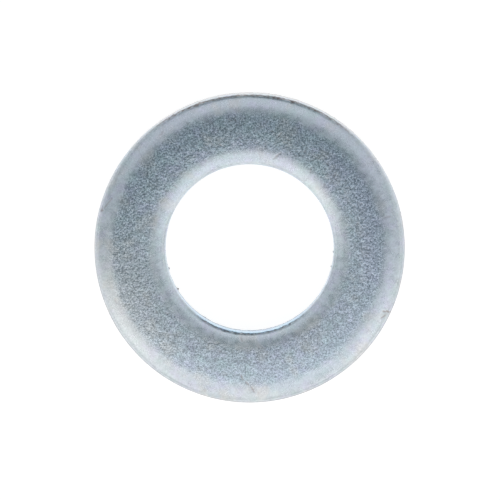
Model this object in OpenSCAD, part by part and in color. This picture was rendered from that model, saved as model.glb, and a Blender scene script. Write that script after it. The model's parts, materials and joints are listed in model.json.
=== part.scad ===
// Flat washer for M12 bolts, blanked and pierced from steel strip in one press stroke.
// The washer lies on the plane z = 0 with its sheared face down. Its rolled face is up, and the
// origin is the centre of the hole on the lower face. Lengths are in millimetres.
//
// A press leaves the same four zones on the rim and on the hole's wall, from the top down:
// a rolled shoulder, a straight burnished land, a tapered fracture zone and a thin tumbled edge.

/* [Washer] */
// Outside diameter
outer_d = 24; // [23:0.1:26]
// Diameter of the hole for the bolt
hole_d = 13; // [12.4:0.1:14]
// Thickness from face to face
thickness = 2.5; // [2.2:0.1:3]

/* [Rolled shoulders] */
// Width of the rolled shoulder at the rim
rim_roll_w = 1.5; // [1.1:0.05:1.7]
// Width of the rolled shoulder at the hole
hole_roll_w = 1.25; // [0.8:0.05:1.3]
// Radius of the tight bend between the rim's shoulder and its land
rim_bend_r = 0.45; // [0.3:0.05:0.6]
// Radius of the tight bend between the hole's shoulder and its land
hole_bend_r = 0.38; // [0.25:0.01:0.5]
// Slope where the gentle part of each shoulder meets its tight bend, in degrees
roll_slope = 16; // [12:1:22]

/* [Sheared walls] */
// Height of the tapered fracture zone above the lower face
fracture_h = 0.9; // [0.6:0.05:1.2]
// How far the fracture zone leans away from the straight land at the lower face
fracture_lean = 0.04; // [0.02:0.01:0.15]
// Tumbled break on the two lower edges
edge_break = 0.07; // [0.04:0.01:0.1]

/* [Hidden] */

rim_r = outer_d / 2;
hole_r = hole_d / 2;
zinc_colour = [0.66, 0.70, 0.75];
circle_steps = 96;
cutter_margin = 0.5;

// Radius of the gentle arc that is tangent to the upper face and to the tight bend
function gentle_r(roll_w, bend_r) = bend_r + (roll_w - bend_r) / sin(roll_slope);

// Drop from the upper face to the top of the straight land
function roll_drop(roll_w, bend_r) =
    gentle_r(roll_w, bend_r) - (gentle_r(roll_w, bend_r) - bend_r) * cos(roll_slope);

// Profile of the metal left under a rolled shoulder. It starts at x = 0, where the upper face y = 0
// ends, and reaches x = roll_w, where the straight land begins roll_drop lower.
module shoulder_metal(roll_w, bend_r) {
    drop = roll_drop(roll_w, bend_r);
    bend_x = roll_w - bend_r;
    seam_x = bend_x + (drop + cutter_margin) * tan(roll_slope);
    intersection() {
        translate([0, -gentle_r(roll_w, bend_r)])
            circle(r = gentle_r(roll_w, bend_r), $fn = circle_steps);
        polygon([[0, -drop], [bend_x, -drop], [seam_x, cutter_margin], [0, cutter_margin]]);
    }
    intersection() {
        translate([bend_x, -drop])
            circle(r = bend_r, $fn = circle_steps);
        polygon([
            [bend_x, -drop],
            [roll_w + cutter_margin, -drop],
            [roll_w + cutter_margin, cutter_margin],
            [seam_x, cutter_margin]
        ]);
    }
}

// Metal that rolling has taken from a square upper corner
module shoulder_waste(roll_w, bend_r) {
    drop = roll_drop(roll_w, bend_r);
    difference() {
        translate([0, -drop])
            square([roll_w + cutter_margin, drop + cutter_margin]);
        shoulder_metal(roll_w, bend_r);
    }
}

// Half section before the shoulders are rolled: square above, sheared and tumbled below
module sheared_section() {
    polygon([
        [hole_r, thickness],
        [hole_r, fracture_h],
        [hole_r + fracture_lean, edge_break],
        [hole_r + fracture_lean + edge_break, 0],
        [rim_r - fracture_lean - edge_break, 0],
        [rim_r - fracture_lean, edge_break],
        [rim_r, fracture_h],
        [rim_r, thickness]
    ]);
}

// Half section of the finished washer, from the hole's wall to the rim
module washer_section() {
    difference() {
        sheared_section();
        translate([rim_r - rim_roll_w, thickness])
            shoulder_waste(rim_roll_w, rim_bend_r);
        translate([hole_r + hole_roll_w, thickness])
            mirror([1, 0])
                shoulder_waste(hole_roll_w, hole_bend_r);
    }
}

// The washer: one solid ring of steel
module washer() {
    color(zinc_colour)
        rotate_extrude($fn = circle_steps)
            washer_section();
}

washer();
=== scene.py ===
"""Looks of a zinc-plated flat washer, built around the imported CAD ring.

The CAD node gives the size and place. One lathe-made mesh stands for it and adds what a press and a
plating barrel leave: a grained face, smooth rolled shoulders, a ragged crease where each shoulder
turns into its sheared wall, drag marks, torn metal, burrs, nicks and scratches. Lengths of the washer
are in millimetres until its mesh is written. The floor, camera and lights are in metres.
"""

import json
import math
import random

import bpy
import numpy as np
from mathutils import Matrix, Vector, noise

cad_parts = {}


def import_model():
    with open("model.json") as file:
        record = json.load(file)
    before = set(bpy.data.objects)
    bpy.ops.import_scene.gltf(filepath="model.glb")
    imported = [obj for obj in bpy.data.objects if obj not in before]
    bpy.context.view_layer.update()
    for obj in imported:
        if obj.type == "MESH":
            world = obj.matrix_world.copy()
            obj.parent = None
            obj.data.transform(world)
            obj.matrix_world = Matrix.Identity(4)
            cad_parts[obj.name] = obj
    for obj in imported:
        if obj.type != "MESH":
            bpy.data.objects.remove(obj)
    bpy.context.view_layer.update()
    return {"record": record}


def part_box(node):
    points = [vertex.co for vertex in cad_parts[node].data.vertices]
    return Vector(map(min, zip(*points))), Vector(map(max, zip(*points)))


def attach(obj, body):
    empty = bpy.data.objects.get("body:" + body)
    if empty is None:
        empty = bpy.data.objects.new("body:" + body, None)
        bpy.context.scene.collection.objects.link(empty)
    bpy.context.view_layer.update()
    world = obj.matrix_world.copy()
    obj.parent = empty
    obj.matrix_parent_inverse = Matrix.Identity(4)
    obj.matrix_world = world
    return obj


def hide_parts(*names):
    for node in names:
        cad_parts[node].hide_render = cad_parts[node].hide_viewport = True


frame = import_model()

MM = 0.001

# --- Size of the ring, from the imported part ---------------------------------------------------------

ring_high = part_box("washer")[1]
BORE = next(m for m in frame["record"]["mounts"] if m["name"] == "bore")
RIM_R = ring_high.x / MM
HOLE_R = BORE["dims"]["r_mm"]
TOP_Z = ring_high.z / MM

# --- Zones that the press leaves, as in the CAD section ---------------------------------------------

RIM_ROLL_W = 1.5
HOLE_ROLL_W = 1.25
RIM_BEND_R = 0.45
HOLE_BEND_R = 0.38
ROLL_SLOPE = math.radians(16)
FRACTURE_H = 0.9
FRACTURE_LEAN = 0.04
EDGE_BREAK = 0.07
RIM_FACE_R = RIM_R - RIM_ROLL_W
HOLE_FACE_R = HOLE_R + HOLE_ROLL_W

# The face between the shoulders is very slightly domed, and meets the shoulders at these slopes
RIM_DOME_SLOPE = math.radians(3.4)
HOLE_DOME_SLOPE = math.radians(2.5)

# --- Fineness of the mesh ---------------------------------------------------------------------------

AROUND = 720
FACE_STEPS = 40
RIM_GENTLE_STEPS = 17
HOLE_GENTLE_STEPS = 12
BEND_STEPS = 12
LAND_STEPS = 6
FRACTURE_STEPS = 7
BREAK_STEPS = 2
SEAT_STEPS = 14

# --- Surface relief: size of the features and height off the surface --------------------------------

WAVE_SIZE, WAVE_HEIGHT = 2.6, 0.006
GRAIN_SIZE, GRAIN_HEIGHT = 0.18, 0.0064
PEEL_SIZE, PEEL_HEIGHT, PEEL_ON_GRAIN = 0.50, 0.00192, 0.00168
CREASE_SIZE, CREASE_DEPTH = 0.30, 0.018
DRAG_SIZE, DRAG_LENGTH, DRAG_HEIGHT = 0.16, 1.8, 0.006
TEAR_SIZE, TEAR_HEIGHT = 0.22, 0.026
NOISE_OFFSET = Vector((31.7, 12.3, 5.9))

# The grain is higher by this part at the +Y edge of the ring, and lower by as much at the -Y edge
GRAIN_SWING = 0.35

# Each mark throws up a lip: part of the mark's depth, and distance from its middle in mark widths
LIP_HEIGHT, LIP_PLACE = 0.4, 1.9

# Burrs are this much taller than they are wide
BURR_STRETCH = 1.4

# Marks this deep and burrs that stand this far are fully dark with dirt
DIRTY_DEPTH, DIRTY_STAND = 0.020, 0.060

# Flow lines on the shoulders run radially: along the radius their noise changes only this fast
FLOW_STRETCH = 0.16

# --- Where each kind of surface shows ---------------------------------------------------------------

# The borders of the zones wander: size of the bends and how far they reach, in two sizes each
ZONE_SWAY = ((2.3, 0.20), (0.7, 0.08))
SHEAR_SWAY = ((1.1, 0.16), (0.35, 0.10))

# Half the height over which the land turns into the fracture zone
SHEAR_BLUR = 0.05

# Distances beyond the face's inner and outer edge over which the grain fades in and out again
GRAIN_IN, GRAIN_OUT = (-0.36, 0.28), (-0.40, 0.35)

# The grained band is off centre by this much: it ends nearer to the axis towards this angle
GRAIN_LEAN, GRAIN_LEAN_AT = 0.22, math.radians(18)

# Distances beyond the face's inner edge over which the polish of the hole's shoulder fades out
POLISH_OUT = (-0.45, 0.10)

# Slopes in degrees over which things fade in and out on the bends. The first three are ragged by
# BEND_SWAY degrees. Wear, which carries a painted highlight, starts later by its delay in degrees where
# the crease holds painted shade, and the painted shade of the dark brow low on the rim's bend starts
# BROW_LEAD degrees earlier on the side that faces -Y.
BEND_SWAY = 16
CREASE_IN, CREASE_OUT = (28, 40), (50, 58)
WORN_IN, WORN_OUT, HIGHLIGHT_DELAY = (28, 38), (48, 60), 22
LAND_REFLECTION_IN = (34, 46)
TUMBLED_IN = (14, 24)
BROW_IN, BROW_LEAD = (54, 72), 8

# How far a surface faces +Y (1 is fully) as the crease's painted shade and the walls' painted reflections
# fade in and the brow's painted shade fades out
TOWARD_PLUS_Y_IN = (0.69, 0.89)
REFLECTION_SIDE_IN = (0.1, 0.8)
BROW_OUT = (0.1, 0.6)

# What is left of the crease's painted shade, the walls' painted reflections and the wear on the sides that
# face away
CREASE_LEFT, REFLECTION_LEFT, WORN_LEFT = 0.04, 0.3, 0.5

# On the side that faces +Y, this part of the roughness that tumbling adds is taken away
PLUS_Y_SMOOTHING = 0.6

# Marks on the upper side: angle round the ring and radius of the middle, heading, length, width, depth
MARKS = (
    (-24.5, 11.75, -8, 0.75, 0.05, 0.030),
    (-27.0, 11.60, 35, 0.45, 0.05, 0.022),
    (165.5, 11.80, 80, 0.15, 0.09, 0.035),
    (161.9, 11.46, 51, 0.95, 0.05, 0.014),
    (252.7, 11.56, 80, 0.25, 0.06, 0.014),
    (73.2, 7.65, 30, 0.55, 0.05, 0.017),
    (74.3, 7.36, 36, 0.50, 0.05, 0.015),
    (13.2, 10.92, 10, 0.50, 0.06, 0.012),
    (266.6, 9.98, -74, 0.45, 0.050, 0.020),
    (268.9, 10.42, -52, 0.35, 0.060, 0.018),
    (271.4, 10.95, -60, 0.50, 0.055, 0.018),
)

# Small marks at random places: how many, their seed, their least distance from both walls, and the
# ranges of their length, width and depth
STRAY_MARKS, STRAY_SEED, STRAY_MARGIN = 34, 12, 0.5
STRAY_LENGTH, STRAY_WIDTH, STRAY_DEPTH = (0.12, 0.5), (0.05, 0.08), (0.005, 0.012)

# Burrs left on the hole's wall: angle round the ring, height above the seat, width, how far they stand
BURRS = (
    (195.2, 0.35, 0.09, 0.14),
    (210.7, 0.30, 0.10, 0.15),
    (-3.6, 0.35, 0.09, 0.13),
    (-13.7, 0.30, 0.08, 0.12),
    (21.0, 0.40, 0.07, 0.08),
    (238.0, 0.25, 0.07, 0.07),
)

# Broad colour casts: angle and radius of the middle, half length, half width, and how strong,
# above 0 for the warm cast and below 0 for the lavender one
CASTS = (
    (200, 9.8, 4.6, 2.1, 0.75),
    (250, 7.9, 2.2, 0.6, 0.40),
    (270, 10.8, 1.0, 0.9, 0.50),
    (104, 9.2, 1.4, 1.0, 0.30),
    (38, 7.1, 1.0, 0.4, 0.35),
    (84, 7.9, 2.4, 0.5, -0.50),
    (38, 11.2, 3.2, 0.6, -0.40),
    (125, 11.2, 3.6, 0.6, -0.45),
    (355, 9.3, 2.4, 0.9, -0.80),
    (22, 9.6, 2.6, 1.1, -0.80),
    (300, 8.1, 3.6, 0.4, -0.50),
    (278, 9.2, 0.8, 0.7, -0.60),
    (318, 9.8, 1.4, 0.8, -0.40),
)

# Brown smudges in the plate: angle and radius of the middle, half length, half width, and strength
SMUDGES = (
    (108.4, 10.25, 0.45, 0.30, 0.36),
    (95.0, 10.00, 0.70, 0.25, 0.32),
    (75.0, 10.25, 0.50, 0.25, 0.16),
    (117.0, 10.30, 0.40, 0.25, 0.18),
    (286.0, 7.63, 0.60, 0.22, 0.14),
    (270.0, 7.64, 0.90, 0.22, 0.14),
    (257.0, 7.64, 0.60, 0.22, 0.10),
    (271.0, 10.80, 0.35, 0.50, 0.12),
    (-25.0, 11.68, 0.45, 0.22, 0.16),
)

# Smudges are broken up by noise: size of the gaps, how much smudge is left on average, and the swing
SMUDGE_GRAIN, SMUDGE_LEVEL, SMUDGE_SWING = 0.22, 0.75, 1.2


def smooth_step(x, low, high):
    """0 below low, 1 above high, and a smooth rise between them."""
    t = np.clip((np.asarray(x, float) - low) / (high - low), 0, 1)
    return t * t * (3 - 2 * t)


def shoulder_line(width, bend_r, start_slope, gentle_steps):
    """Points (x, drop, slope) of a rolled shoulder, from the face's edge out to the straight land."""
    bend_w = bend_r * (1 - math.sin(ROLL_SLOPE))
    gentle_r = (width - bend_w) / (math.sin(ROLL_SLOPE) - math.sin(start_slope))
    points = []
    for i in range(1, gentle_steps + 1):
        a = start_slope + (ROLL_SLOPE - start_slope) * i / gentle_steps
        x = gentle_r * (math.sin(a) - math.sin(start_slope))
        points.append((x, gentle_r * (math.cos(start_slope) - math.cos(a)), a))
    seam_x, seam_drop = points[-1][:2]
    for i in range(1, BEND_STEPS + 1):
        a = ROLL_SLOPE + (math.pi / 2 - ROLL_SLOPE) * i / BEND_STEPS
        x = seam_x + bend_r * (math.sin(a) - math.sin(ROLL_SLOPE))
        points.append((x, seam_drop + bend_r * (math.cos(ROLL_SLOPE) - math.cos(a)), a))
    return points


def wall_line(wall_r, outward, land_top):
    """Points (r, z, zone, slope) down a sheared wall, from the land's top to the seat face."""
    points = []
    for i in range(1, LAND_STEPS + 1):
        z = land_top + (FRACTURE_H - land_top) * i / LAND_STEPS
        points.append((wall_r, z, "land", 0.0))
    for i in range(1, FRACTURE_STEPS + 1):
        t = i / FRACTURE_STEPS
        r = wall_r - outward * FRACTURE_LEAN * t
        points.append((r, FRACTURE_H + (EDGE_BREAK - FRACTURE_H) * t, "torn", 0.0))
    foot_r = wall_r - outward * FRACTURE_LEAN
    for i in range(1, BREAK_STEPS + 1):
        a = math.pi / 2 * i / BREAK_STEPS
        r = foot_r - outward * EDGE_BREAK * (1 - math.cos(a))
        points.append((r, EDGE_BREAK * (1 - math.sin(a)), "break", 0.0))
    return points


def section():
    """The ring's closed half section: arrays of r, z, zone and slope, clockwise from the face."""
    dome_r = (RIM_FACE_R - HOLE_FACE_R) / (math.sin(RIM_DOME_SLOPE) + math.sin(HOLE_DOME_SLOPE))
    crest_r = HOLE_FACE_R + dome_r * math.sin(HOLE_DOME_SLOPE)
    rim_edge_z = TOP_Z - dome_r * (1 - math.cos(RIM_DOME_SLOPE))
    hole_edge_z = TOP_Z - dome_r * (1 - math.cos(HOLE_DOME_SLOPE))
    points = []
    for i in range(FACE_STEPS + 1):
        r = HOLE_FACE_R + (RIM_FACE_R - HOLE_FACE_R) * i / FACE_STEPS
        z = TOP_Z - dome_r + math.sqrt(dome_r**2 - (r - crest_r) ** 2)
        points.append((r, z, "face", 0.0))
    rim = shoulder_line(RIM_ROLL_W, RIM_BEND_R, RIM_DOME_SLOPE, RIM_GENTLE_STEPS)
    hole = shoulder_line(HOLE_ROLL_W, HOLE_BEND_R, HOLE_DOME_SLOPE, HOLE_GENTLE_STEPS)
    points += [(RIM_FACE_R + x, rim_edge_z - drop, "roll", slope) for x, drop, slope in rim]
    rim_wall = wall_line(RIM_R, 1, rim_edge_z - rim[-1][1])
    hole_wall = wall_line(HOLE_R, -1, hole_edge_z - hole[-1][1])
    points += rim_wall
    seat_out, seat_in = rim_wall[-1][0], hole_wall[-1][0]
    for i in range(1, SEAT_STEPS):
        points.append((seat_out + (seat_in - seat_out) * i / SEAT_STEPS, 0.0, "seat", 0.0))
    points += hole_wall[::-1]
    points += [(HOLE_FACE_R - x, hole_edge_z - drop, "roll", slope) for x, drop, slope in hole[::-1]]
    r, z, zone, slope = zip(*points)
    return np.array(r), np.array(z), np.array(zone), np.array(slope)


def section_normals(r, z):
    """Outward unit normals of the closed section, for points that run clockwise in (r, z)."""
    dr = np.roll(r, -1) - np.roll(r, 1)
    dz = np.roll(z, -1) - np.roll(z, 1)
    length = np.hypot(dr, dz)
    return -dz / length, dr / length


def noise_field(x, y, z, size, octaves=1):
    """Seeded noise from about -1 to 1 at each point, with features about size across."""
    flat = zip(np.ravel(x) / size, np.ravel(y) / size, np.ravel(z) / size)
    if octaves == 1:
        values = [noise.noise(Vector(p) + NOISE_OFFSET) for p in flat]
    else:
        values = [noise.fractal(Vector(p) + NOISE_OFFSET, 0.7, 2.1, octaves) for p in flat]
    return np.array(values).reshape(np.shape(x))


def rows(zone, *names):
    """A column with 1 at the stations in the named zones and 0 at the others."""
    return np.isin(zone, names).astype(float)[:, None]


def sway(sizes, x, y, z):
    """Sum of noise fields in several sizes, each with its own reach."""
    return sum(reach * noise_field(x, y, z, size) for size, reach in sizes)


def face_masks(r, zone, x, y, z):
    """Where the surface is grained, and where the hole's shoulder is polished."""
    edge_r = r[:, None] + sway(ZONE_SWAY, x, y, z)
    lean = GRAIN_LEAN * (x * math.cos(GRAIN_LEAN_AT) + y * math.sin(GRAIN_LEAN_AT)) / RIM_R
    inner = smooth_step(edge_r - HOLE_FACE_R, *GRAIN_IN)
    outer = 1 - smooth_step(edge_r + lean - RIM_FACE_R, *GRAIN_OUT)
    polished = 1 - smooth_step(edge_r - HOLE_FACE_R, *POLISH_OUT)
    return {
        "grained": inner * outer * rows(zone, "face", "roll") + rows(zone, "seat"),
        "polished": polished * rows(zone, "roll"),
    }


def bend_masks(turn, slope, zone, facing, toward_plus_y, in_hole):
    """Where the tight bends get painted shade in the crease, are worn bare with a painted highlight, are
    dulled by tumbling or get painted shade low on the rim's bend.
    """
    rolled = rows(zone, "roll")
    # Painted shade: the crease band is darkened, almost only on the side that faces +Y
    crease = smooth_step(turn, *CREASE_IN) * (1 - smooth_step(turn, *CREASE_OUT)) * rolled
    # On the side that faces +Y the worn band, full there as a painted highlight, starts later, past the
    # crease's painted shade
    late_turn = turn - HIGHLIGHT_DELAY * toward_plus_y
    worn_and_highlighted = smooth_step(late_turn, *WORN_IN) * (1 - smooth_step(late_turn, *WORN_OUT)) * rolled
    early_slope = slope - BROW_LEAD * np.minimum(facing, 0)
    # Painted shade: the rim's lower bend is darker on the sides that do not face +Y
    brow = smooth_step(early_slope, *BROW_IN) * (1 - smooth_step(facing, *BROW_OUT))
    return {
        "crease": crease * (CREASE_LEFT + (1 - CREASE_LEFT) * toward_plus_y),
        "edge": rows(zone, "break") + worn_and_highlighted * (WORN_LEFT + (1 - WORN_LEFT) * toward_plus_y),
        "brow": brow * rolled * ~in_hole,
        "tumbled": smooth_step(slope, *TUMBLED_IN) * rolled * (1 - PLUS_Y_SMOOTHING * toward_plus_y),
    }


def wall_masks(turn, zone, facing, toward_plus_y, in_hole, x, y, z):
    """Where the walls are burnished or torn, where the hole's torn metal gets painted shade, and where the
    walls and the hole's bend get painted reflections.
    """
    wall = rows(zone, "land", "torn", "break")
    ragged_z = z + sway(SHEAR_SWAY, x, y, z)
    sheared = smooth_step(ragged_z, FRACTURE_H + SHEAR_BLUR, FRACTURE_H - SHEAR_BLUR)
    # Painted reflection: the walls' tints are full on the side that faces +Y
    reflection_side = REFLECTION_LEFT + (1 - REFLECTION_LEFT) * smooth_step(facing, *REFLECTION_SIDE_IN)
    # Painted reflection on the hole's bend just above its land, on the side that faces +Y
    under_crease = smooth_step(turn, *LAND_REFLECTION_IN) * rows(zone, "roll") * toward_plus_y
    return {
        "land": wall * (1 - sheared),
        "torn": wall * sheared,
        # Painted bluish reflection on the hole's wall and the bend above it
        "bore": in_hole * (wall * (1 - sheared) * reflection_side + under_crease),
        # Painted shade on the torn lower part of the hole's wall
        "bore_torn": in_hole * wall * sheared,
        "rim_wall": ~in_hole * wall * reflection_side,
    }


def surface_masks(r, zone, slope, facing, x, y, z):
    """How much of each kind of surface shows, from 0 to 1, at every (station, angle).

    facing is the +Y part of the outward direction. Painted shade lies in the crease on the +Y side only.
    """
    in_hole = (r < (HOLE_R + RIM_R) / 2)[:, None]
    toward_plus_y = smooth_step(facing, *TOWARD_PLUS_Y_IN)
    degrees = np.degrees(slope)[:, None]
    turn = degrees + BEND_SWAY * noise_field(x, y, z, CREASE_SIZE, 2)
    return {
        **face_masks(r, zone, x, y, z),
        **bend_masks(turn, degrees, zone, facing, toward_plus_y, in_hole),
        **wall_masks(turn, zone, facing, toward_plus_y, in_hole, x, y, z),
    }


def soft_spots(spots, angle, r):
    """Sum of soft oval spots at every (station, angle)."""
    total = np.zeros((len(r), len(angle)))
    for place, radius, half_length, half_width, strength in spots:
        turn = (angle - math.radians(place) + math.pi) % (2 * math.pi) - math.pi
        along = (turn * radius / half_length) ** 2
        total += strength * np.exp(-along[None, :] - ((r - radius) / half_width)[:, None] ** 2)
    return total


def smudge_mask(angle, r, x, y, z):
    """Soft brown smudges at every (station, angle), broken up by noise."""
    broken = SMUDGE_LEVEL + SMUDGE_SWING * noise_field(x, y, z, SMUDGE_GRAIN, 2)
    return np.clip(soft_spots(SMUDGES, angle, r) * broken, 0, 1)


def mark_depths(x, y, marks):
    """Depth of nicks and scratches at each point, with the low lip that each throws up beside it."""
    total = np.zeros_like(x)
    for angle, radius, heading, length, width, depth in marks:
        a, h = math.radians(angle), math.radians(heading)
        dx, dy = x - radius * math.cos(a), y - radius * math.sin(a)
        along = dx * math.cos(h) + dy * math.sin(h)
        across = -dx * math.sin(h) + dy * math.cos(h)
        ends = 1 - smooth_step(np.abs(along), length / 2 - width, length / 2 + width)
        cut = np.exp(-(across / width) ** 2)
        lip = LIP_HEIGHT * np.exp(-((across / width - LIP_PLACE) ** 2))
        total += depth * ends * (cut - lip)
    return total


def stray_marks():
    """Small nicks and scratches from the plating barrel, at seeded random places."""
    rng = random.Random(STRAY_SEED)
    marks = []
    for _ in range(STRAY_MARKS):
        angle, heading = rng.uniform(0, 360), rng.uniform(0, 180)
        radius = rng.uniform(HOLE_R + STRAY_MARGIN, RIM_R - STRAY_MARGIN)
        length, width = rng.uniform(*STRAY_LENGTH), rng.uniform(*STRAY_WIDTH)
        marks.append((angle, radius, heading, length, width, rng.uniform(*STRAY_DEPTH)))
    return tuple(marks)


def burr_heights(x, y, z):
    """How far the burrs stand off the hole's wall at each point."""
    total = np.zeros_like(x)
    for angle, height, width, stand in BURRS:
        a = math.radians(angle)
        away = (x - HOLE_R * math.cos(a)) ** 2 + (y - HOLE_R * math.sin(a)) ** 2
        total += stand * np.exp(-away / width**2 - ((z - height) / (BURR_STRETCH * width)) ** 2)
    return total


def relief(masks, r, zone, x, y, z):
    """Height off the smooth section at each (station, angle). Adds the mask of dirt in the marks."""
    wave = noise_field(x, y, z, WAVE_SIZE) * WAVE_HEIGHT
    coarse = 1 + GRAIN_SWING * y / RIM_R
    grain = noise_field(x, y, z, GRAIN_SIZE, 2) * GRAIN_HEIGHT * coarse * masks["grained"]
    peel = noise_field(x, y, z, PEEL_SIZE) * (PEEL_HEIGHT + PEEL_ON_GRAIN * masks["grained"])
    crease = -CREASE_DEPTH * masks["crease"] * (1 + noise_field(x, y, z, CREASE_SIZE / 2))
    drag = noise_field(x, y, z * DRAG_SIZE / DRAG_LENGTH, DRAG_SIZE) * DRAG_HEIGHT * masks["land"]
    tear = noise_field(x, y, z, TEAR_SIZE, 3) * TEAR_HEIGHT * masks["torn"]
    marks = mark_depths(x, y, MARKS + stray_marks()) * rows(zone, "face", "roll")
    burrs = burr_heights(x, y, z) * (r < HOLE_R + EDGE_BREAK + FRACTURE_LEAN)[:, None]
    masks["dirt"] = np.clip(marks / DIRTY_DEPTH, 0, 1) + np.clip(burrs / DIRTY_STAND, 0, 1)
    return wave + grain + peel + crease + drag + tear + burrs - marks


def flow_places(r, cos, sin):
    """Places in the noise that draws the flow lines: full size round the ring, slow along the radius."""
    rim_x, rim_y, slow_r = np.broadcast_arrays(RIM_R * cos, RIM_R * sin, FLOW_STRETCH * r[:, None])
    return np.stack([rim_x, rim_y, slow_r], axis=-1)


def lathe_faces(stations):
    """Corner numbers of the four-sided faces between neighbouring stations and angles."""
    i, j = np.meshgrid(np.arange(stations), np.arange(AROUND), indexing="ij")
    i2, j2 = (i + 1) % stations, (j + 1) % AROUND
    faces = np.stack([i * AROUND + j, i2 * AROUND + j, i2 * AROUND + j2, i * AROUND + j2], axis=-1)
    return faces.reshape(-1, 4).tolist()


def washer_mesh():
    """The lathe grid with its relief, as an object in metres that carries its masks."""
    r, z, zone, slope = section()
    out_r, out_z = section_normals(r, z)
    angle = np.arange(AROUND) * 2 * math.pi / AROUND
    cos, sin = np.cos(angle)[None, :], np.sin(angle)[None, :]
    x, y = r[:, None] * cos, r[:, None] * sin
    zz = np.repeat(z[:, None], AROUND, axis=1)
    facing = np.sign(out_r)[:, None] * sin
    masks = surface_masks(r, zone, slope, facing, x, y, zz)
    height = relief(masks, r, zone, x, y, zz)
    masks["cast"] = soft_spots(CASTS, angle, r)
    masks["dirt"] += smudge_mask(angle, r, x, y, zz) * rows(zone, "face", "roll")
    x = x + out_r[:, None] * cos * height
    y = y + out_r[:, None] * sin * height
    zz = np.maximum(zz + out_z[:, None] * height, 0)

    verts = np.stack([x, y, zz], axis=-1).reshape(-1, 3) * MM
    mesh = bpy.data.meshes.new("washer_plated")
    mesh.from_pydata(verts.tolist(), [], lathe_faces(len(r)))
    mesh.shade_smooth()
    for name, mask in masks.items():
        attribute = mesh.attributes.new(name, "FLOAT", "POINT")
        full_mask = np.broadcast_to(mask, x.shape)
        attribute.data.foreach_set("value", full_mask.ravel().astype(np.float32))
    attribute = mesh.attributes.new("flow", "FLOAT_VECTOR", "POINT")
    flow = flow_places(r, cos, sin) * MM
    attribute.data.foreach_set("vector", flow.ravel().astype(np.float32))
    mesh.update()
    piece = bpy.data.objects.new("washer_plated", mesh)
    bpy.context.scene.collection.objects.link(piece)
    return piece


class Nodes:
    """Short hand for adding nodes to one material and linking them."""

    def __init__(self, material):
        material.use_nodes = True
        self.tree = material.node_tree
        self.shader = self.tree.nodes["Principled BSDF"]

    def add(self, kind, settings=(), **inputs):
        node = self.tree.nodes.new("ShaderNode" + kind)
        for name, value in dict(settings).items():
            setattr(node, name, value)
        for name, value in inputs.items():
            self.put(node, name.replace("_", " "), value)
        return node

    def put(self, node, name, value):
        socket = node.inputs[int(name)] if name.isdigit() else node.inputs[name]
        if isinstance(value, bpy.types.NodeSocket):
            self.tree.links.new(value, socket)
        else:
            socket.default_value = value

    def mask(self, name):
        return self.add("Attribute", {"attribute_name": name}).outputs["Fac"]

    def noise(self, size_mm, detail, offset, stretch=(1, 1, 1), place=None):
        """Noise value with features about size_mm across, from the object's own coordinates."""
        place = place or self.add("TexCoord").outputs["Object"]
        mapping = self.add("Mapping", Vector=place, Location=offset, Scale=stretch)
        scale = 1 / (size_mm * MM)
        texture = self.add("TexNoise", Vector=mapping.outputs[0], Scale=scale, Detail=detail)
        return texture.outputs["Fac"]

    def remap(self, value, low, high, to_low, to_high):
        node = self.add("MapRange", Value=value)
        for name, number in zip(("From Min", "From Max", "To Min", "To Max"), (low, high, to_low, to_high)):
            self.put(node, name, number)
        return node.outputs["Result"]

    def math(self, operation, a, b):
        node = self.add("Math", {"operation": operation})
        self.put(node, "0", a)
        self.put(node, "1", b)
        return node.outputs[0]

    def blend(self, mode, amount, a, b):
        node = self.add("Mix", {"data_type": "RGBA", "blend_type": mode})
        self.put(node, "0", amount)
        self.put(node, "6", a)
        self.put(node, "7", b)
        return node.outputs[2]

    def lerp(self, amount, a, b):
        node = self.add("Mix", {"data_type": "FLOAT"})
        for name, value in zip(("0", "2", "3"), (amount, a, b)):
            self.put(node, name, value)
        return node.outputs[0]

    def ramp(self, value, *stops):
        node = self.add("ValToRGB", Fac=value)
        while len(node.color_ramp.elements) < len(stops):
            node.color_ramp.elements.new(0.5)
        for element, (place, colour) in zip(node.color_ramp.elements, stops):
            element.position = place
            element.color = (*colour, 1)
        return node.outputs["Color"]


# --- Colours of the zinc plate and its blue passivate -----------------------------------------------

ZINC = (0.665, 0.73, 0.785)
LAVENDER = (0.685, 0.715, 0.815)
TEAL = (0.640, 0.735, 0.765)
WARM = (0.715, 0.73, 0.735)
GRAIN_TINT = (0.87, 0.92, 0.97)
POLISH_TINT = (1.08, 1.08, 1.08)
# Painted bluish reflection on the hole's wall and on the bend just above it
BORE_REFLECTION_TINT = (0.87, 1.04, 1.18)
# Painted shade low on the hole's wall, over its torn metal
BORE_TORN_SHADE_TINT = (0.60, 0.69, 0.75)
# Painted warm reflection on the rim's wall
RIM_WALL_REFLECTION_TINT = (1.10, 1.01, 0.94)
# Brown of the dirt in marks, burrs and smudges, also used as painted shade in the crease
STAIN_AND_SHADE = (0.35, 0.29, 0.28)
# Bare metal of worn edges, also a painted highlight band on the bends
BARE_AND_HIGHLIGHT = (0.93, 0.95, 0.97)
# Painted shade low on the rim's bend, away from the +Y side
BROW_SHADE_TINT = (0.76, 0.72, 0.71)

# How much of the full residue colour shows in marks, burrs and smudges
DIRT_STRENGTH = 0.75

# --- Noise textures of the plate: size in millimetres, detail, place in the noise, stretch ----------

PATCHES = (1.0, 4.0, (0.003, 0.007, 0.001))
WARMTH = (1.6, 2.0, (0.011, 0.002, 0.005))
WEAR = (0.35, 3.0, (0.002, 0, 0))
# Noise that breaks up the crease's painted shade
CREASE_SHADE_NOISE = (0.22, 3.0, (0, 0, 0))
GRAIN = (0.13, 2.0, (0, 0.004, 0))
MOTTLE = (0.50, 2.0, (0.008, 0, 0))
STREAKS = (0.12, 2.0, (0, 0, 0), (1, 1, 0.08))
FLOW = (0.42, 3.0, (0, 0, 0))
TORN = (0.20, 2.5, (0.006, 0, 0), (1, 1, 0.5))

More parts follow.
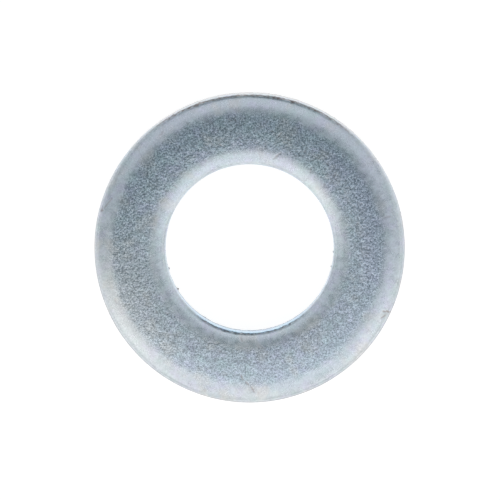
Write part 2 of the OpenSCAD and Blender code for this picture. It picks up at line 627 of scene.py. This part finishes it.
# --- What the noise does: its low and high value, and what each of them becomes ---------------------

PATCH_EDGES = (0.36, 0.47, 0.53, 0.64)
WARM_AMOUNT = (0.54, 0.68, 0.0, 0.75)
WORN_AMOUNT = (0.42, 0.58, 0.25, 0.7)
CREASE_SHADE_AMOUNT = (0.38, 0.60, 0.32, 1.0)
SMOOTH_SPECK, GRAINED_SPECK = (0.3, 0.7, 0.90, 1.08), (0.35, 0.65, 0.64, 1.27)
SMOOTH_MOTTLE, MATT_MOTTLE = (0.3, 0.7, 0.92, 1.06), (0.3, 0.7, 0.85, 1.12)
TORN_SPECK = (0.35, 0.65, 0.70, 1.0)
FLOW_SPECK = (0.3, 0.7, 0.965, 1.03)
SMOOTH_ROUGHNESS, MATT_ROUGHNESS = (0.35, 0.65, 0.25, 0.31), (0.35, 0.65, 0.175, 0.295)

# Roughness that torn and tumbled metal add
TORN_ROUGHNESS, TUMBLED_ROUGHNESS = 0.14, 0.16
METALLIC = 0.9

# Fine bumps: their depth in millimetres, and the part of it that grain and flow lines have on shoulders
BUMP_DEPTH, SHOULDER_GRAIN, SHOULDER_FLOW = 0.011, 0.16, 0.2


def zinc_colour(n, specks):
    """Bluish grey with soft lavender, teal and warm patches, specks, stain and worn edges, plus painted
    shade in the crease and low on the rim's bend, painted reflections on the walls and a painted highlight
    on the worn bends.
    """
    stops = zip(PATCH_EDGES, (TEAL, ZINC, ZINC, LAVENDER))
    colour = n.ramp(n.noise(*PATCHES), *stops)
    cast = n.mask("cast")
    warmth = n.remap(n.noise(*WARMTH), *WARM_AMOUNT)
    warmth = n.math("ADD", warmth, n.remap(cast, 0, 1, 0, 1))
    colour = n.blend("MIX", warmth, colour, (*WARM, 1))
    colour = n.blend("MIX", n.remap(cast, 0, -1, 0, 1), colour, (*LAVENDER, 1))
    colour = n.blend("MULTIPLY", n.mask("grained"), colour, (*GRAIN_TINT, 1))
    colour = n.blend("MULTIPLY", n.mask("polished"), colour, (*POLISH_TINT, 1))
    # Painted shade on the hole's torn metal
    colour = n.blend("MULTIPLY", n.mask("bore_torn"), colour, (*BORE_TORN_SHADE_TINT, 1))
    # Painted warm reflection on the rim's wall, full on the side that faces +Y
    colour = n.blend("MULTIPLY", n.mask("rim_wall"), colour, (*RIM_WALL_REFLECTION_TINT, 1))
    colour = n.blend("MULTIPLY", 1.0, colour, specks)
    # Worn bare metal, partly real wear and partly a painted highlight that is full on the side that faces
    # +Y
    worn_and_highlighted = n.math("MULTIPLY", n.mask("edge"), n.remap(n.noise(*WEAR), *WORN_AMOUNT))
    colour = n.blend("MIX", worn_and_highlighted, colour, (*BARE_AND_HIGHLIGHT, 1))
    # Painted shade: the crease turns brown on the side that faces +Y
    crease_shade = n.math("MULTIPLY", n.mask("crease"), n.remap(n.noise(*CREASE_SHADE_NOISE), *CREASE_SHADE_AMOUNT))
    colour = n.blend("MIX", crease_shade, colour, (*STAIN_AND_SHADE, 1))
    # Painted bluish reflection in the hole, full on the wall that faces +Y
    colour = n.blend("MULTIPLY", n.mask("bore"), colour, (*BORE_REFLECTION_TINT, 1))
    colour = n.blend("MIX", n.math("MULTIPLY", n.mask("dirt"), DIRT_STRENGTH), colour, (*STAIN_AND_SHADE, 1))
    # Painted shade low on the rim's bend
    return n.blend("MULTIPLY", n.mask("brow"), colour, (*BROW_SHADE_TINT, 1))


def zinc_specks(n, grained, matt, grain, mottle, flow, torn):
    """How light the plate is from spot to spot: grain, mottling, flow lines and torn metal."""
    speck = n.lerp(grained, n.remap(grain, *SMOOTH_SPECK), n.remap(grain, *GRAINED_SPECK))
    torn_speck = n.lerp(n.mask("torn"), 1.0, n.remap(torn, *TORN_SPECK))
    patchy = n.lerp(matt, n.remap(mottle, *SMOOTH_MOTTLE), n.remap(mottle, *MATT_MOTTLE))
    flow_speck = n.lerp(matt, n.remap(flow, *FLOW_SPECK), 1.0)
    for factor in (torn_speck, patchy, flow_speck):
        speck = n.math("MULTIPLY", speck, factor)
    return speck


def zinc_roughness(n, matt, grain, mottle):
    """Roughness of the plate: smoother shoulders, uneven grain, rougher torn and tumbled metal."""
    rough = n.lerp(matt, n.remap(mottle, *SMOOTH_ROUGHNESS), n.remap(grain, *MATT_ROUGHNESS))
    rough = n.math("ADD", rough, n.math("MULTIPLY", n.mask("torn"), TORN_ROUGHNESS))
    return n.math("ADD", rough, n.math("MULTIPLY", n.mask("tumbled"), TUMBLED_ROUGHNESS))


def zinc_bumps(n, grained, matt, grain, flow, torn):
    """Normals of bumps too fine for the mesh: grain, flow lines, streaks on the lands, torn metal."""
    bumps = n.math("MULTIPLY", grain, n.remap(grained, 0, 1, SHOULDER_GRAIN, 1.0))
    bumps = n.math("ADD", bumps, n.math("MULTIPLY", flow, n.remap(matt, 0, 1, SHOULDER_FLOW, 0.0)))
    bumps = n.math("ADD", bumps, n.math("MULTIPLY", n.noise(*STREAKS), n.mask("land")))
    bumps = n.math("ADD", bumps, n.math("MULTIPLY", torn, n.mask("torn")))
    bump = n.add("Bump", Height=bumps, Strength=1.0, Distance=BUMP_DEPTH * MM)
    return bump.outputs["Normal"]


def zinc_material():
    """Zinc plate: matt speckled grain on the faces, smooth shoulders, streaked land, torn fracture."""
    material = bpy.data.materials.new("zinc_plate")
    n = Nodes(material)
    grained = n.mask("grained")
    matt = n.math("MAXIMUM", grained, n.mask("torn"))
    grain, mottle, torn = n.noise(*GRAIN), n.noise(*MOTTLE), n.noise(*TORN)
    flow_place = n.add("Attribute", {"attribute_name": "flow"}).outputs["Vector"]
    flow = n.noise(*FLOW, place=flow_place)
    specks = zinc_specks(n, grained, matt, grain, mottle, flow, torn)
    n.put(n.shader, "Base Color", zinc_colour(n, specks))
    n.put(n.shader, "Roughness", zinc_roughness(n, matt, grain, mottle))
    n.put(n.shader, "Normal", zinc_bumps(n, grained, matt, grain, flow, torn))
    n.put(n.shader, "Metallic", METALLIC)
    return material


# --- Stage, camera and light, in metres -------------------------------------------------------------

FLOOR_HALF, FLOOR_GAP = 2.5, 0.00002
FLOOR_GREY, FLOOR_GLOW = 0.25, 0.9
FLOOR_ROUGHNESS, FLOOR_SPECULAR = 0.9, 0.1

# The camera leans this far from straight above, towards this angle in the XY plane
CAMERA_LEAN, CAMERA_TOWARDS = math.radians(5.0), math.radians(83)
CAMERA_DISTANCE, CAMERA_NEAR, CAMERA_FAR = 0.6, 0.05, 10.0
SENSOR_W_MM, VIEW_W = 36.0, 0.03862
AIM = Vector((0.04 * MM, -0.085 * MM, TOP_Z * MM))

SKY, SKY_STRENGTH = (0.70, 0.91, 1, 1), 0.235


def floor():
    """A plain pale floor that glows softly, a hair below the washer's underside."""
    corners = [(-1, -1), (1, -1), (1, 1), (-1, 1)]
    verts = [(FLOOR_HALF * x, FLOOR_HALF * y, -FLOOR_GAP) for x, y in corners]
    mesh = bpy.data.meshes.new("floor")
    mesh.from_pydata(verts, [], [(0, 1, 2, 3)])
    obj = bpy.data.objects.new("floor", mesh)
    bpy.context.scene.collection.objects.link(obj)
    mat = bpy.data.materials.new("floor")
    mat.use_nodes = True
    shader = mat.node_tree.nodes["Principled BSDF"]
    shader.inputs["Base Color"].default_value = (FLOOR_GREY, FLOOR_GREY, FLOOR_GREY, 1)
    shader.inputs["Roughness"].default_value = FLOOR_ROUGHNESS
    shader.inputs["Specular IOR Level"].default_value = FLOOR_SPECULAR
    shader.inputs["Emission Color"].default_value = (1, 1, 1, 1)
    shader.inputs["Emission Strength"].default_value = FLOOR_GLOW
    obj.data.materials.append(mat)


def camera():
    """Nearly overhead, leaning a few degrees towards +Y, with +Y up in the picture."""
    data = bpy.data.cameras.new("camera")
    data.sensor_width = SENSOR_W_MM
    data.lens = SENSOR_W_MM * CAMERA_DISTANCE / VIEW_W
    data.clip_start, data.clip_end = CAMERA_NEAR, CAMERA_FAR
    sideways = math.sin(CAMERA_LEAN)
    back_x, back_y = sideways * math.cos(CAMERA_TOWARDS), sideways * math.sin(CAMERA_TOWARDS)
    back = Vector((back_x, back_y, math.cos(CAMERA_LEAN)))
    up = (Vector((0, 1, 0)) - back * back.y).normalized()
    side = up.cross(back)
    obj = bpy.data.objects.new("camera", data)
    turn = Matrix((side, up, back)).transposed().to_4x4()
    obj.matrix_world = Matrix.Translation(AIM + back * CAMERA_DISTANCE) @ turn
    bpy.context.scene.collection.objects.link(obj)
    bpy.context.scene.camera = obj


WARM_LIGHT = (1.0, 0.93, 0.87)
PLAIN_LIGHT = (1.0, 0.96, 1.0)

# Softboxes: name, azimuth, elevation, distance, width, height, brightness and colour. Places and sizes
# were chosen, and the brightnesses were fitted to the photo's and rounded.
SOFTBOXES = (
    ("top", 0, 80, 0.10, 0.03, 0.03, 0.52, WARM_LIGHT),
    ("ring_0", 0, 63, 0.11, 0.046, 0.046, 0.66, PLAIN_LIGHT),
    ("ring_45", 45, 63, 0.11, 0.046, 0.046, 0.71, PLAIN_LIGHT),
    ("ring_90", 90, 63, 0.18, 0.075, 0.075, 0.33, PLAIN_LIGHT),
    ("ring_135", 135, 63, 0.18, 0.075, 0.075, 0.52, PLAIN_LIGHT),
    ("ring_180", 180, 63, 0.18, 0.075, 0.075, 0.61, PLAIN_LIGHT),
    ("ring_225", 225, 63, 0.18, 0.075, 0.075, 0.50, PLAIN_LIGHT),
    ("ring_270", 270, 63, 0.18, 0.075, 0.075, 0.24, PLAIN_LIGHT),
    ("ring_315", 315, 63, 0.11, 0.046, 0.046, 0.83, WARM_LIGHT),
    ("front", 0, 42, 0.10, 0.085, 0.052, 0.72, WARM_LIGHT),
    ("front_left", 310, 42, 0.10, 0.085, 0.052, 0.85, WARM_LIGHT),
    ("front_right", 50, 42, 0.10, 0.085, 0.052, 0.81, WARM_LIGHT),
    ("side_right", 95, 40, 0.18, 0.12, 0.08, 0.85, WARM_LIGHT),
    ("side_left", 265, 40, 0.18, 0.12, 0.08, 0.43, WARM_LIGHT),
    ("mid_130", 130, 30, 0.30, 0.16, 0.17, 0.54, PLAIN_LIGHT),
    ("mid_235", 235, 32, 0.30, 0.14, 0.15, 0.54, PLAIN_LIGHT),
    ("mid_285", 285, 28, 0.30, 0.14, 0.14, 0.58, PLAIN_LIGHT),
    ("low_0", 0, 14, 0.30, 0.24, 0.13, 1.05, WARM_LIGHT),
    ("low_50", 50, 14, 0.30, 0.24, 0.13, 1.05, WARM_LIGHT),
    ("low_310", 310, 14, 0.30, 0.24, 0.13, 1.05, WARM_LIGHT),
    ("low_100", 100, 14, 0.30, 0.24, 0.13, 0.52, PLAIN_LIGHT),
    ("low_260", 260, 14, 0.30, 0.24, 0.13, 0.29, PLAIN_LIGHT),
    ("low_215", 215, 22, 0.30, 0.22, 0.13, 0.33, PLAIN_LIGHT),
)


def softbox(name, azimuth, elevation, distance, width, height, brightness, colour):
    """An oval soft light aimed at the washer. Azimuth 0 stands on the -Y side and 90 on the +X side."""
    a, e = math.radians(azimuth), math.radians(elevation)
    back = Vector((math.sin(a) * math.cos(e), -math.cos(a) * math.cos(e), math.sin(e)))
    data = bpy.data.lights.new(name, "AREA")
    data.shape = "ELLIPSE"
    data.size, data.size_y = width, height
    data.energy = brightness * math.pi * (math.pi / 4 * width * height)
    data.color = colour
    obj = bpy.data.objects.new(name, data)
    obj.location = back * distance
    obj.rotation_mode = "QUATERNION"
    obj.rotation_quaternion = back.to_track_quat("Z", "Y")
    obj.visible_camera = False
    bpy.context.scene.collection.objects.link(obj)


def world():
    """A weak, even, bluish light from all round."""
    studio = bpy.data.worlds.new("studio")
    studio.use_nodes = True
    background = studio.node_tree.nodes["Background"]
    background.inputs["Color"].default_value = SKY
    background.inputs["Strength"].default_value = SKY_STRENGTH
    bpy.context.scene.world = studio


washer = washer_mesh()
washer.data.materials.append(zinc_material())
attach(washer, "root")
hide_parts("washer")
floor()
camera()
world()
for row in SOFTBOXES:
    softbox(*row)
bpy.context.scene.view_settings.view_transform = "Standard"
